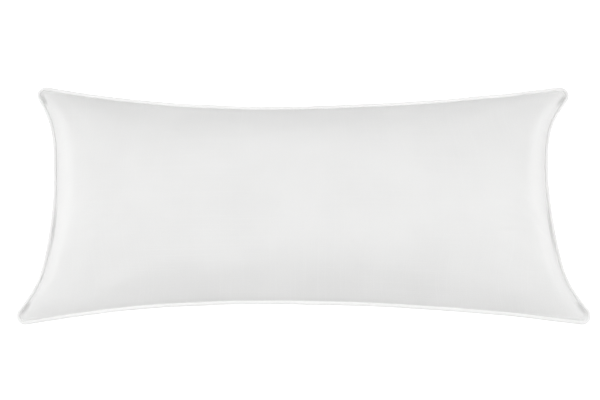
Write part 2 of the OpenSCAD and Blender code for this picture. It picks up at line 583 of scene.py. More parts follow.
class Effects:
    """The shader groups that the finishes share."""

    def __init__(self) -> None:
        """Build each group."""
        self.weave = self.build_weave()
        self.rumple = self.build_rumple()
        self.twist = self.build_twist()

    @staticmethod
    def build_weave() -> bpy.types.NodeTree:
        """Build the plain weave: round threads that pass over and under each other, with slubs.

        Returns:
            The group's tree. Its outputs are a height from 0 to 1, the share of shade between the
            threads, and a mask of the thicker threads.
        """
        group = NodeGroup("plain_weave", {"Cloth": ("Vector", 0.0), "Threads": ("Float", 2800.0)},
                          {"Height": "Float", "Gap": "Float", "Slub": "Float"})
        tree, cloth = group.tree, group.source.outputs["Cloth"]
        apart = tree.nodes.new("ShaderNodeSeparateXYZ")
        tree.links.new(cloth, apart.inputs[0])
        wobble = cloud(tree, cloth, 90.0, 2.0)
        threads = group.source.outputs["Threads"]
        count = []
        for k in range(2):
            shifted = maths(tree, "MULTIPLY_ADD", wobble, 0.0006, apart.outputs[k])
            count.append(maths(tree, "MULTIPLY", shifted, threads))
        whole = [maths(tree, "FLOOR", c) for c in count]
        part = [maths(tree, "FRACT", c) for c in count]
        arch = [maths(tree, "SINE", maths(tree, "MULTIPLY", p, math.pi)) for p in part]
        odd = maths(tree, "PINGPONG", maths(tree, "ADD", whole[0], whole[1]), 1.0)
        over = []
        for k in range(2):
            crest = maths(tree, "MULTIPLY_ADD", arch[1 - k], 0.45, 0.55)
            over.append(maths(tree, "MULTIPLY", maths(tree, "SQRT", arch[k]), crest))
        first = maths(tree, "MULTIPLY", over[0], odd)
        second = maths(tree, "MULTIPLY", over[1], maths(tree, "SUBTRACT", 1.0, odd))
        height = maths(tree, "ADD", first, second)
        slubs = []
        for scale in ((3.0, 900.0, 1.0), (900.0, 3.0, 1.0)):
            slubs.append(cloud(tree, stretched(tree, cloth, scale), 1.0, 2.0))
        slub = ranged(tree, maths(tree, "MAXIMUM", slubs[0], slubs[1]), 0.56, 0.74, 0.0, 1.0)
        raised = maths(tree, "MULTIPLY_ADD", slub, 0.35, height)
        link(tree, raised, group.sink.inputs["Height"])
        link(tree, ranged(tree, height, 0.0, 0.6, 1.0, 0.0), group.sink.inputs["Gap"])
        link(tree, slub, group.sink.inputs["Slub"])
        return tree

    @staticmethod
    def build_rumple() -> bpy.types.NodeTree:
        """Build the soft unevenness of a stuffed cloth, with a mask for broad shade.

        Returns:
            The group's tree. Its outputs are a height from 0 to 1 and a slow mask from 0 to 1.
        """
        group = NodeGroup("stuffed_rumple", {"Place": ("Vector", 0.0), "Size": ("Float", 1.0)},
                          {"Height": "Float", "Mask": "Float"})
        tree = group.tree
        node = tree.nodes.new("ShaderNodeVectorMath")
        node.operation = "SCALE"
        tree.links.new(group.source.outputs["Place"], node.inputs[0])
        tree.links.new(group.source.outputs["Size"], node.inputs["Scale"])
        fine = cloud(tree, node.outputs[0], 48.0, 4.0, 0.55)
        broad = cloud(tree, node.outputs[0], 9.0, 2.0, 0.5)
        link(tree, maths(tree, "MULTIPLY_ADD", fine, 0.35, maths(tree, "MULTIPLY", broad, 0.65)),
             group.sink.inputs["Height"])
        link(tree, ranged(tree, broad, 0.3, 0.7, 0.0, 1.0), group.sink.inputs["Mask"])
        return tree

    @staticmethod
    def build_twist() -> bpy.types.NodeTree:
        """Build the slanting plies of a twisted thread, with stray fibre.

        Returns:
            The group's tree. Its outputs are a height and the share of shade between the plies.
        """
        group = NodeGroup("thread_twist", {"Thread": ("Vector", 0.0), "Plies": ("Float", 900.0)},
                          {"Height": "Float", "Gap": "Float"})
        tree = group.tree
        apart = tree.nodes.new("ShaderNodeSeparateXYZ")
        tree.links.new(group.source.outputs["Thread"], apart.inputs[0])
        slant = maths(tree, "MULTIPLY_ADD", apart.outputs[1], 1.6, apart.outputs[0])
        phase = maths(tree, "FRACT", maths(tree, "MULTIPLY", slant, group.source.outputs["Plies"]))
        ply = maths(tree, "SINE", maths(tree, "MULTIPLY", phase, math.pi))
        stray = cloud(tree, group.source.outputs["Thread"], 2400.0, 2.0)
        link(tree, maths(tree, "MULTIPLY_ADD", stray, 0.3, ply), group.sink.inputs["Height"])
        link(tree, ranged(tree, ply, 0.0, 0.5, 1.0, 0.0), group.sink.inputs["Gap"])
        return tree


@dataclass(frozen=True)
class Finish:
    """What every finish of the pillow has: a colour, a darker shade of it, and how it shines."""

    name: str
    colour: tuple[float, float, float]
    shade: tuple[float, float, float]
    roughness: float = 0.9
    sheen: float = 0.15
    sheen_roughness: float = 0.5

    def begin(self) -> tuple[bpy.types.Material, bpy.types.NodeTree, bpy.types.Node]:
        """Start a material with the plain values set.

        Returns:
            The material, its node tree and its shader.
        """
        material = bpy.data.materials.new(self.name)
        material.use_nodes = True
        tree = material.node_tree
        shader = tree.nodes["Principled BSDF"]
        shader.inputs["Sheen Weight"].default_value = self.sheen
        shader.inputs["Sheen Roughness"].default_value = self.sheen_roughness
        shader.inputs["Specular IOR Level"].default_value = 0.25
        return material, tree, shader

    def paint(self, tree: bpy.types.NodeTree, shader: bpy.types.Node,
              darkness: bpy.types.NodeSocket) -> None:
        """Mix the two colours by a mask and set the roughness by it.

        Args:
            tree: the material's node tree.
            shader: the material's shader.
            darkness: the mask, 0 for the colour and 1 for its shade.
        """
        mix = tree.nodes.new("ShaderNodeMix")
        mix.data_type = "RGBA"
        link(tree, darkness, mix.inputs["Factor"])
        mix.inputs[6].default_value = (*self.colour, 1.0)
        mix.inputs[7].default_value = (*self.shade, 1.0)
        tree.links.new(mix.outputs[2], shader.inputs["Base Color"])
        in_shade = min(1.0, self.roughness + 0.1)
        link(tree, ranged(tree, darkness, 0.0, 1.0, self.roughness, in_shade),
             shader.inputs["Roughness"])

    def raise_surface(self, tree: bpy.types.NodeTree, shader: bpy.types.Node,
                      layers: list[tuple[bpy.types.NodeSocket, float, float]]) -> None:
        """Feed the shader's normal from a chain of bumps.

        Args:
            tree: the material's node tree.
            shader: the material's shader.
            layers: for each bump, its height, its distance in metres and its strength.
        """
        before = None
        for height, distance, strength in layers:
            bump = tree.nodes.new("ShaderNodeBump")
            bump.inputs["Distance"].default_value = distance
            bump.inputs["Strength"].default_value = strength
            tree.links.new(height, bump.inputs["Height"])
            if before is not None:
                tree.links.new(before, bump.inputs["Normal"])
            before = bump.outputs["Normal"]
        tree.links.new(before, shader.inputs["Normal"])


def placed_group(tree: bpy.types.NodeTree, group: bpy.types.NodeTree, vector: object,
                 **values: float) -> bpy.types.Node:
    """Place a shared group in a material.

    Args:
        tree: the material's node tree.
        group: the group.
        vector: the socket for the group's first input.
        values: numbers for its other inputs, by label.

    Returns:
        The group's node.
    """
    node = tree.nodes.new("ShaderNodeGroup")
    node.node_tree = group
    link(tree, vector, node.inputs[0])
    for label, value in values.items():
        node.inputs[label].default_value = value
    return node


@dataclass(frozen=True)
class WovenCotton(Finish):
    """Bleached plain-woven cotton, its colour darkened by painted shade where a piece's attribute
    says so.
    """

    threads: float = 2800.0
    bias: float = 0.0
    rumple_depth: float = 1.2 * MM
    weave_depth: float = 0.09 * MM
    gap_shade: float = 0.3
    rumple_shade: float = 0.13
    slub_light: float = 0.1

    def material(self, effects: Effects) -> bpy.types.Material:
        """Build the cloth: threads on its own flat coordinates, rumples on the pillow's place.

        Args:
            effects: the shared shader groups.

        Returns:
            The material.
        """
        material, tree, shader = self.begin()
        source = tree.nodes.new("ShaderNodeTexCoord")
        cloth = stretched(tree, source.outputs["UV"], (1.0, 1.0, 1.0), self.bias)
        weave = placed_group(tree, effects.weave, cloth, Threads=self.threads)
        rumple = placed_group(tree, effects.rumple, source.outputs["Object"])
        gap = maths(tree, "MULTIPLY", weave.outputs["Gap"], self.gap_shade)
        mask = maths(tree, "MULTIPLY_ADD", rumple.outputs["Mask"], self.rumple_shade, gap)
        mask = maths(tree, "MULTIPLY_ADD", weave.outputs["Slub"], -self.slub_light, mask)
        # Painted shade: this attribute darkens the cloth's colour in the gutter beside the piping
        # and in the pits by the ears.
        painted_shade = tree.nodes.new("ShaderNodeAttribute")
        painted_shade.attribute_name = "painted_shade"
        self.paint(tree, shader, maths(tree, "ADD", mask, painted_shade.outputs["Fac"]))
        self.raise_surface(tree, shader, [(rumple.outputs["Height"], self.rumple_depth, 0.35),
                                          (weave.outputs["Height"], self.weave_depth, 0.5)])
        return material


@dataclass(frozen=True)
class SpunThread(Finish):
    """Spun sewing thread or cord, with slanting plies."""

    plies: float = 900.0
    depth: float = 0.05 * MM
    gap_shade: float = 0.7

    def material(self, effects: Effects) -> bpy.types.Material:
        """Build the thread on its own unrolled coordinates.

        Args:
            effects: the shared shader groups.

        Returns:
            The material.
        """
        material, tree, shader = self.begin()
        source = tree.nodes.new("ShaderNodeTexCoord")
        twist = placed_group(tree, effects.twist, source.outputs["UV"], Plies=self.plies)
        self.paint(tree, shader, maths(tree, "MULTIPLY", twist.outputs["Gap"], self.gap_shade))
        self.raise_surface(tree, shader, [(twist.outputs["Height"], self.depth, 0.6)])
        return material


@dataclass(frozen=True)
class LooseFibre(Finish):
    """Fluffy stuffing: fine tangled fibres in soft clumps."""

    clump_depth: float = 4 * MM
    hair_depth: float = 0.4 * MM

    def material(self, effects: Effects) -> bpy.types.Material:
        """Build the fibre on the pillow's own coordinates.

        Args:
            effects: the shared shader groups.

        Returns:
            The material.
        """
        material, tree, shader = self.begin()
        source = tree.nodes.new("ShaderNodeTexCoord")
        rumple = placed_group(tree, effects.rumple, source.outputs["Object"], Size=2.0)
        hairs = [cloud(tree, stretched(tree, source.outputs["Object"], scale), 1.0, 3.0, 0.7)
                 for scale in ((900.0, 60.0, 200.0), (70.0, 800.0, 200.0))]
        hair = maths(tree, "MAXIMUM", hairs[0], hairs[1])
        # Painted shade: the colour darkens towards the shade colour between the hair streaks, where
        # shade falls between the fibres.
        self.paint(tree, shader, ranged(tree, hair, 0.4, 0.7, 1.0, 0.0))
        self.raise_surface(tree, shader, [(rumple.outputs["Height"], self.clump_depth, 0.6),
                                          (hair, self.hair_depth, 0.7)])
        return material


# ---- The pillow case ----


@dataclass(frozen=True)
class Crease:
    """A short soft fold pressed into the upper panel. Its heading is in degrees."""

    x: float
    y: float
    heading: float
    length: float
    width: float = 6.5 * MM
    depth: float = 1.5 * MM
    ridge: float = 0.35
    fade: float = 6.0

    def depth_at(self, point: Vector) -> float:
        """Return how deep the fold is at a point.

        Args:
            point: the point.

        Returns:
            The depth, less than 0 on the ridges beside the fold.
        """
        dx, dy = point.x - self.x, point.y - self.y
        turn = math.radians(self.heading)
        along = (dx * math.cos(turn) + dy * math.sin(turn)) / self.length
        across = (dy * math.cos(turn) - dx * math.sin(turn)) / self.width
        reach = along * along + across * across / 4
        if reach > self.fade:
            return 0.0
        return self.depth * math.exp(-reach) * (math.exp(-across * across) - self.ridge)


CREASES = [
    Crease(0.332, -0.020, -8, 0.026),
    Crease(0.352, -0.034, -22, 0.020, depth=1.9 * MM),
    Crease(0.318, -0.042, -5, 0.018),
    Crease(0.366, -0.050, -34, 0.016),
    Crease(0.345, -0.006, 6, 0.022, depth=1.1 * MM),
    Crease(0.310, -0.062, 10, 0.020, depth=1.1 * MM),
    Crease(-0.318, -0.016, 12, 0.022, depth=1.3 * MM),
    Crease(-0.334, -0.034, 24, 0.020, depth=1.7 * MM),
    Crease(-0.306, -0.044, 16, 0.018),
    Crease(-0.326, -0.060, 30, 0.016, depth=1.3 * MM),
]


CLOTH_SETTINGS = {
    "quality": 8, "tension_stiffness": 80, "compression_stiffness": 10, "shear_stiffness": 20,
    "bending_stiffness": 0.05, "tension_damping": 5, "compression_damping": 5, "shear_damping": 5,
    "air_damping": 2, "pin_stiffness": 50, "use_pressure": True,
}


@dataclass
class PillowCase:
    """The two panels: cut flat, sewn together, drawn in along the seam, and filled until taut.

    Take-up is the share of the cut that the sewing gathers. The slopes say how steeply the case may
    rise from the seam, the gutters how wide the low strip beside the piping is, and a pit is the
    sunken dip at the end side of each ear. The pit and end-gutter shades are painted shade, a
    darker colour laid on the cloth where shadow falls; each has the distance from the seam at which
    it starts to fade, and the width over which it does.
    """

    seam: SeamPath
    cut_length: float = 900 * MM
    cut_width: float = 400 * MM
    allowance: float = 8 * MM
    layer_z: float = 0.76 * MM
    fold_gap: float = 0.5 * MM
    cloth_t: float = 0.5 * MM
    cells: tuple[int, int] = (70, 30)
    corner_cells: int = 3
    take_up: float = 0.012
    plump_start: float = 20 * MM
    pressure: float = 10.0
    point_mass: float = 0.05
    draw_frames: int = 18
    frames: int = 44
    skin: float = 1 * MM
    settle_depth: float = 150 * MM
    over_layers: float = 0.8
    low_layers: float = 0.2
    stitch_rise: float = 0.64
    stitch_depth: float = 3 * MM
    rim_slope: float = 1.9
    ear_slope: float = 1.6
    shoulder: float = 2.6
    gutter: float = 0.8 * MM
    ear_gutter: float = 7 * MM
    pit_gutter: float = 6.5 * MM
    end_gutter: float = 4.2 * MM
    ear_hollow: float = 13 * MM
    ear_reach: float = 12 * MM
    pit_place: float = 0.91
    pit_inset: float = 5 * MM
    pit_core: float = 3 * MM
    pit_reach: float = 14 * MM
    end_start: float = 300 * MM
    end_reach: float = 60 * MM
    gutter_y: float = -48 * MM
    gutter_spread: float = 34 * MM
    # Painted shade in the pits and the end gutters: where each starts to fade, over what width, and
    # how dark the gutter's is.
    pit_shade: tuple[float, float] = (2 * MM, 7 * MM)
    gutter_shade: tuple[float, float] = (3 * MM, 3 * MM)
    gutter_darkness: float = 0.8
    smoothing: int = 4
    flattening: float = 1.7 * MM
    lump_start: float = 30 * MM
    broad_lump: Ripple = Ripple(2.8 * MM, 12.0)
    small_lump: Ripple = Ripple(0.95 * MM, 34.0, (7.0, 3.0, 1.0))
    stuffing_inset: float = 14 * MM
    stuffing_gap: float = 0.7 * MM
    clump: Ripple = Ripple(0.8 * MM, 55.0)
    flat: SeamPath = field(init=False)
    us: list[float] = field(init=False)
    vs: list[float] = field(init=False)
    flat_at: list[list[Vector]] = field(init=False)
    seam_tree: kdtree.KDTree = field(init=False)
    seam_z: list[float] = field(init=False)
    ears: list[Vector] = field(init=False)
    pits: list[Vector] = field(init=False)

    def __post_init__(self) -> None:
        """Lay out the flat cut and the stations of the panels' cells."""
        hint = 0.05 * MM
        keep = 1 - self.take_up
        self.flat = SeamPath(self.cut_length * keep, self.cut_width * keep, self.seam.corner_r,
                             (hint,) * 4, (0.0,) * 4, self.seam.height)
        self.us = self.flat.stations(Side.NEAR.value, self.cells[0], self.corner_cells)
        self.vs = self.flat.stations(Side.RIGHT.value, self.cells[1], self.corner_cells)
        self.flat_at = self.plan(lambda side, s: self.flat.walk(side, s, 0.0))
        stations = 1600
        dense = [self.seam.place(*at) for at in self.seam.even_trip(stations)]
        self.seam_z = [point.z for point in dense]
        self.seam_tree = kdtree.KDTree(len(dense))
        for k, point in enumerate(dense):
            self.seam_tree.insert(point * FLAT, k)
        self.seam_tree.balance()
        self.ears = [self.seam.place(side, 1.0) * FLAT for side in range(4)]
        self.pits = [self.seam.place(side.value, s, -self.pit_inset) * FLAT
                     for side in (Side.RIGHT, Side.LEFT) for s in (-self.pit_place, self.pit_place)]

    def rim(self, i: int, j: int) -> tuple[int, float] | None:
        """Find where on the seam a cell corner lies.

        Args:
            i: the cell corner's column.
            j: its row.

        Returns:
            The side and the place along it, or None where the corner isn't on the seam.
        """
        if j == 0:
            return Side.NEAR.value, self.us[i]
        if j == len(self.vs) - 1:
            return Side.FAR.value, -self.us[i]
        if i == 0:
            return Side.LEFT.value, -self.vs[j]
        if i == len(self.us) - 1:
            return Side.RIGHT.value, self.vs[j]
        return None

    def plan(self, walk: Callable[[int, float], Vector]) -> list[list[Vector]]:
        """Stretch the cells between four sides.

        Args:
            walk: gives the point of a side at a place from -1 to 1.

        Returns:
            The cells' corners, by column and row.
        """
        near = [walk(Side.NEAR.value, u) for u in self.us]
        far = [walk(Side.FAR.value, -u) for u in self.us]
        left = [walk(Side.LEFT.value, -v) for v in self.vs]
        right = [walk(Side.RIGHT.value, v) for v in self.vs]
        plan = []
        for i, u in enumerate(self.us):
            a = (u + 1) / 2
            row = []
            for j, v in enumerate(self.vs):
                b = (v + 1) / 2
                near_end = (1 - a) * near[0] + a * near[-1]
                far_end = (1 - a) * far[0] + a * far[-1]
                ends = (1 - b) * near_end + b * far_end
                row.append((1 - b) * near[i] + b * far[i] + (1 - a) * left[j] + a * right[j] - ends)
            plan.append(row)
        return plan

    def sewn_flat(self) -> tuple[bpy.types.Object, list[tuple[int, int]]]:
        """Build both panels flat and joined round their rim, with the drawn-in seam as a shape key.

        Returns:
            The object, and the column and row of each of its vertices.
        """
        plan = self.flat_at
        columns, rows = len(self.us) - 1, len(self.vs) - 1
        bm = bmesh.new()
        column = bm.verts.layers.int.new("column")
        row = bm.verts.layers.int.new("row")
        under = bm.faces.layers.int.new("under")

        def place(i: int, j: int) -> Vector:
            """Lay a cell corner of the upper panel a little above the seam's plane.

            Args:
                i: the corner's column.
                j: its row.

            Returns:
                The point.
            """
            plump = math.sqrt(max(0.0, (1 - self.us[i] ** 2) * (1 - self.vs[j] ** 2)))
            rise = self.plump_start * plump
            return Vector((plan[i][j].x, plan[i][j].y, self.seam.height + rise))

        made = lay_grid(bm, columns, rows, lambda i, j: Vector((i, j, 0)),
                        lambda i, j: tuple(plan[i][j]))
        for v in made:
            i, j = round(v.co.x), round(v.co.y)
            v[column], v[row] = i, j
            v.co = place(i, j)
        lower = bmesh.ops.duplicate(bm, geom=bm.verts[:] + bm.edges[:] + bm.faces[:])["geom"]
        lower_faces = [g for g in lower if isinstance(g, bmesh.types.BMFace)]
        for face in lower_faces:
            face[under] = 1
        for v in (g for g in lower if isinstance(g, bmesh.types.BMVert)):
            v.co.z = 2 * self.seam.height - v.co.z
        bmesh.ops.reverse_faces(bm, faces=lower_faces)
        bmesh.ops.remove_doubles(bm, verts=bm.verts[:], dist=1e-6)
        bm.verts.index_update()
        index = [(v[column], v[row]) for v in bm.verts]
        body = new_piece("sewn_case", bm, outward=False)
        body.shape_key_add(name="flat")
        drawn = body.shape_key_add(name="drawn_in")
        for k, (i, j) in enumerate(index):
            at = self.rim(i, j)
            if at is not None:
                drawn.data[k].co = self.seam.place(*at)
        return body, index

    def inflate(self, body: bpy.types.Object, index: list[tuple[int, int]]) -> bpy.types.Mesh:
        """Draw the seam in while pressure fills the case over the resting surface.

        Args:
            body: the flat case.
            index: the column and row of each of its vertices.

        Returns:
            The filled case's mesh.
        """
        drawn = body.data.shape_keys.key_blocks["drawn_in"]
        for value, at in ((0.0, 1), (1.0, self.draw_frames)):
            drawn.value = value
            drawn.keyframe_insert("value", frame=at)
        held = body.vertex_groups.new(name="seam")
        held.add([k for k, at in enumerate(index) if self.rim(*at) is not None], 1.0, "REPLACE")
        cloth = body.modifiers.new("cloth", "CLOTH")
        settings = cloth.settings
        for name, value in CLOTH_SETTINGS.items():
            setattr(settings, name, value)
        settings.mass = self.point_mass
        settings.vertex_group_mass = held.name
        settings.effector_weights.gravity = 0
        settings.uniform_pressure_force = self.pressure
        cloth.collision_settings.use_collision = True
        cloth.collision_settings.distance_min = self.skin
        cloth.collision_settings.use_self_collision = False
        cloth.point_cache.frame_start = 1
        cloth.point_cache.frame_end = self.frames + 1
        bm = bmesh.new()
        bmesh.ops.create_grid(bm, x_segments=1, y_segments=1, size=1.5)
        rest = new_piece("resting_surface", bm, outward=False)
        rest.modifiers.new("collision", "COLLISION")
        rest.collision.thickness_outer = self.skin
        scene = bpy.context.scene
        scene.frame_start, scene.frame_end = 1, self.frames + 1
        for step in range(1, self.frames + 1):
            scene.frame_set(step)
        filled = baked_mesh(body)
        drop(rest)
        drop(body)
        scene.frame_set(1)
        return filled

    def near_pit(self, flat: Vector) -> float:
        """Return how close a point in plan is to the pit beside an ear, from 0 to 1."""
        from_pit = min((flat - pit).length for pit in self.pits)
        return 1 - smooth_share((from_pit - self.pit_core) / self.pit_reach)

    def near_end(self, flat: Vector) -> float:
        """Return how close a point in plan is to the near half of an end, from 0 to 1."""
        by_end = smooth_share((abs(flat.x) - self.end_start) / self.end_reach)
        return by_end * math.exp(-((flat.y - self.gutter_y) / self.gutter_spread) ** 2)

    def painted_shade_at(self, flat: Vector) -> float:
        """Say how much painted shade darkens the cloth's colour at a point in the gutter beside the
        piping.

        Args:
            flat: the point in plan.

        Returns:
            The share, from 0 to 1.
        """
        from_seam = self.seam_tree.find(flat)[2]
        pit, gutter = (near * (1 - smooth_share((from_seam - start) / width))
                       for near, (start, width) in ((self.near_pit(flat), self.pit_shade),
                                                    (self.near_end(flat), self.gutter_shade)))
        return max(pit, self.gutter_darkness * gutter)

    def kept_down(self, flat: Vector, height: float) -> float:
        """Keep a point of the case from rising too steeply beside the seam.

        The stuffing doesn't reach into the ears, so each corner keeps a low dip beside its piping,
        and so does the near half of each end. The panel never sinks into the stitches under it.

        Args:
            flat: the point in plan.
            height: its height as the pressure leaves it.

        Returns:
            The height that it keeps.
        """
        _, nearest, from_seam = self.seam_tree.find(flat)
        level = self.seam_z[nearest]
        from_ear = min((flat - ear).length for ear in self.ears)
        by_ear = 1 - smooth_share((from_ear - self.ear_hollow) / self.ear_reach)
        by_pit, by_end = self.near_pit(flat), self.near_end(flat)
        slope = self.rim_slope + self.ear_slope * by_ear
        trench = (self.gutter + self.ear_gutter * by_ear + self.pit_gutter * by_pit
                  + self.end_gutter * by_end)
        layers = self.over_layers * (1 - self.low_layers * max(by_ear, by_pit))
        limit = self.layer_z + layers * from_seam + slope * max(0.0, from_seam - trench)
        rise = height - level
        kept = abs(rise) / (1 + (abs(rise) / limit) ** self.shoulder) ** (1 / self.shoulder)
        over_stitches = self.layer_z + self.stitch_rise * min(from_seam, self.stitch_depth)
        return level + math.copysign(max(kept, over_stitches), rise)

    def settle(self, filled: bpy.types.Mesh) -> None:
        """Let the case rise no more steeply from the seam than loose stuffing pushes it.

        Args:
            filled: the filled case's mesh, which is changed.
        """
        sewn = self.plan(lambda side, s: self.seam.place(side, s) * FLAT)
        bm = bmesh.new()
        bm.from_mesh(filled)
        column, row = bm.verts.layers.int["column"], bm.verts.layers.int["row"]
        inner = []
        for v in bm.verts:
            i, j = v[column], v[row]
            if self.rim(i, j) is not None:
                continue
            inner.append(v)
            free = smooth_share(self.from_edge(self.flat_at[i][j]) / self.settle_depth)
            flat = sewn[i][j].lerp(v.co * FLAT, free)
            v.co = Vector((flat.x, flat.y, self.kept_down(flat, v.co.z)))
        for _ in range(self.smoothing):
            bmesh.ops.smooth_vert(bm, verts=inner, factor=0.5, use_axis_x=True, use_axis_y=True,
                                  use_axis_z=True)
        bm.to_mesh(filled)
        bm.free()

    def split(self, filled: bpy.types.Mesh, under: bool) -> bpy.types.Mesh:
        """Cut one panel out of the filled case, turn its allowance in and smooth it once.

        Args:
            filled: the filled case's mesh.
            under: True for the lower panel.

        Returns:
            The panel's mesh, one layer thick.
        """
        way = -1 if under else 1
        bm = bmesh.new()
        bm.from_mesh(filled)
        side = bm.faces.layers.int["under"]
        bmesh.ops.delete(bm, geom=[f for f in bm.faces if f[side] != under], context="FACES")
        column, row = bm.verts.layers.int["column"], bm.verts.layers.int["row"]
        turned_in = bm.faces.layers.int.new("turned_in")
        uv = bm.loops.layers.uv.verify()
        folds = [e for e in bm.edges if e.is_boundary]
        made = bmesh.ops.extrude_edge_only(bm, edges=folds)["geom"]
        raw = {g for g in made if isinstance(g, bmesh.types.BMVert)}
        for v in bm.verts:
            at = self.rim(v[column], v[row])
            if at is not None:
                out = self.allowance if v in raw else self.fold_gap
                v.co = self.seam.place(*at, -out, way * self.layer_z)
            else:
                v.co.z = max(v.co.z - self.flattening, 0.0) if under else v.co.z
        for face in (g for g in made if isinstance(g, bmesh.types.BMFace)):
            face[turned_in] = 1
            for loop in face.loops:
                at = self.rim(loop.vert[column], loop.vert[row])
                loop[uv].uv = self.flat.walk(*at, self.allowance if loop.vert in raw else 0.0)
        crease = bm.edges.layers.float.new("crease_edge")
        for edge in self.folds(bm):
            edge[crease] = 1.0
        bmesh.ops.recalc_face_normals(bm, faces=bm.faces)
        top = max(bm.faces, key=lambda f: way * f.calc_center_median().z)
        if top.normal.z * way < 0:
            bmesh.ops.reverse_faces(bm, faces=bm.faces)
        helper = new_piece("panel_draft", bm, outward=False)
        smoother = helper.modifiers.new("subdivision", "SUBSURF")
        smoother.levels = smoother.render_levels = 2
        mesh = baked_mesh(helper)
        drop(helper)
        return mesh

    @staticmethod
    def folds(bm: bmesh.types.BMesh) -> Iterator[bmesh.types.BMEdge]:
        """Find the edges along the line where the allowance turns in.

        Args:
            bm: the panel.

        Returns:
            The edges.
        """
        turned_in = bm.faces.layers.int["turned_in"]
        return (e for e in bm.edges if len({f[turned_in] for f in e.link_faces}) > 1)

    def from_edge(self, at: Vector) -> float:
        """Return how far a point of the flat cut lies from the cut's nearest edge."""
        return min(self.flat.length / 2 - abs(at.x), self.flat.width / 2 - abs(at.y))

    def rumpled(self, mesh: bpy.types.Mesh, under: bool) -> bmesh.types.BMesh:
        """Give a panel the unevenness of the stuffing under it.

        Args:
            mesh: the panel's smooth mesh, which is removed.
            under: True for the lower panel, which the resting surface keeps flat.

        Returns:
            The panel's bmesh.
        """
        bm = bmesh.new()
        bm.from_mesh(mesh)
        bpy.data.meshes.remove(mesh)
        bm.normal_update()
        turned_in = bm.faces.layers.int["turned_in"]
        uv = bm.loops.layers.uv.verify()
        moves = []
        for v in bm.verts:
            if any(f[turned_in] for f in v.link_faces):
                continue
            inset = self.from_edge(v.link_loops[0][uv].uv)
            hold = min(1.0, inset / self.lump_start)
            lumps = self.broad_lump.at(v.co) + self.small_lump.at(v.co)
            folds = 0.0 if under else sum(crease.depth_at(v.co) for crease in CREASES)
            moves.append((v, v.normal * (hold * hold * lumps - folds), inset))
        for v, move, inset in moves:
            v.co += move
            if inset > 0.1 * MM:
                v.co.z = self.kept_down(v.co * FLAT, v.co.z)
            v.co.z = max(v.co.z, 0.0)
        # Painted shade: each vertex keeps how far the cloth's colour is darkened where shadow falls
        # beside the piping.
        painted_shade = bm.verts.layers.float.new("painted_shade")
        for v in bm.verts:
            v[painted_shade] = self.painted_shade_at(v.co * FLAT)
        return bm

    def panel(self, name: str, draft: bmesh.types.BMesh) -> bpy.types.Object:
        """Make a panel's piece out of its finished surface.

        Args:
            name: the piece's name.
            draft: the surface, which is kept.

        Returns:
            The piece.
        """
        piece = new_piece(name, draft.copy(), outward=False)
        wall = piece.modifiers.new("cloth_thickness", "SOLIDIFY")
        wall.thickness = self.cloth_t
        wall.offset = -1
        return piece

    def filling(self, name: str, drafts: list[bmesh.types.BMesh]) -> bpy.types.Object:
        """Make the stuffing: one closed form a little inside both panels.

        Args:
            name: the piece's name.
            drafts: the upper and lower panel's surfaces, which are used up.

        Returns:
            The piece.
        """
        whole = bmesh.new()
        for draft in drafts:
            turned_in = draft.faces.layers.int["turned_in"]
            uv = draft.loops.layers.uv.verify()
            edge = [f for f in draft.faces if f[turned_in]
                    or min(self.from_edge(c[uv].uv) for c in f.loops) < self.stuffing_inset]
            bmesh.ops.delete(draft, geom=edge, context="FACES")
            draft.normal_update()
            for v, normal in [(v, v.normal.copy()) for v in draft.verts]:
                v.co -= normal * (self.cloth_t + self.stuffing_gap + abs(self.clump.at(v.co)))
            mesh = bpy.data.meshes.new(name)
            draft.to_mesh(mesh)
            draft.free()
            whole.from_mesh(mesh)
            bpy.data.meshes.remove(mesh)
        bmesh.ops.bridge_loops(whole, edges=[e for e in whole.edges if e.is_boundary])
        return new_piece(name, whole)


def smooth_share(share: float) -> float:
    """Return a share clamped from 0 to 1 and eased at both ends."""
    t = min(1.0, max(0.0, share))
    return t * t * (3 - 2 * t)


# ---- The corded edge ----


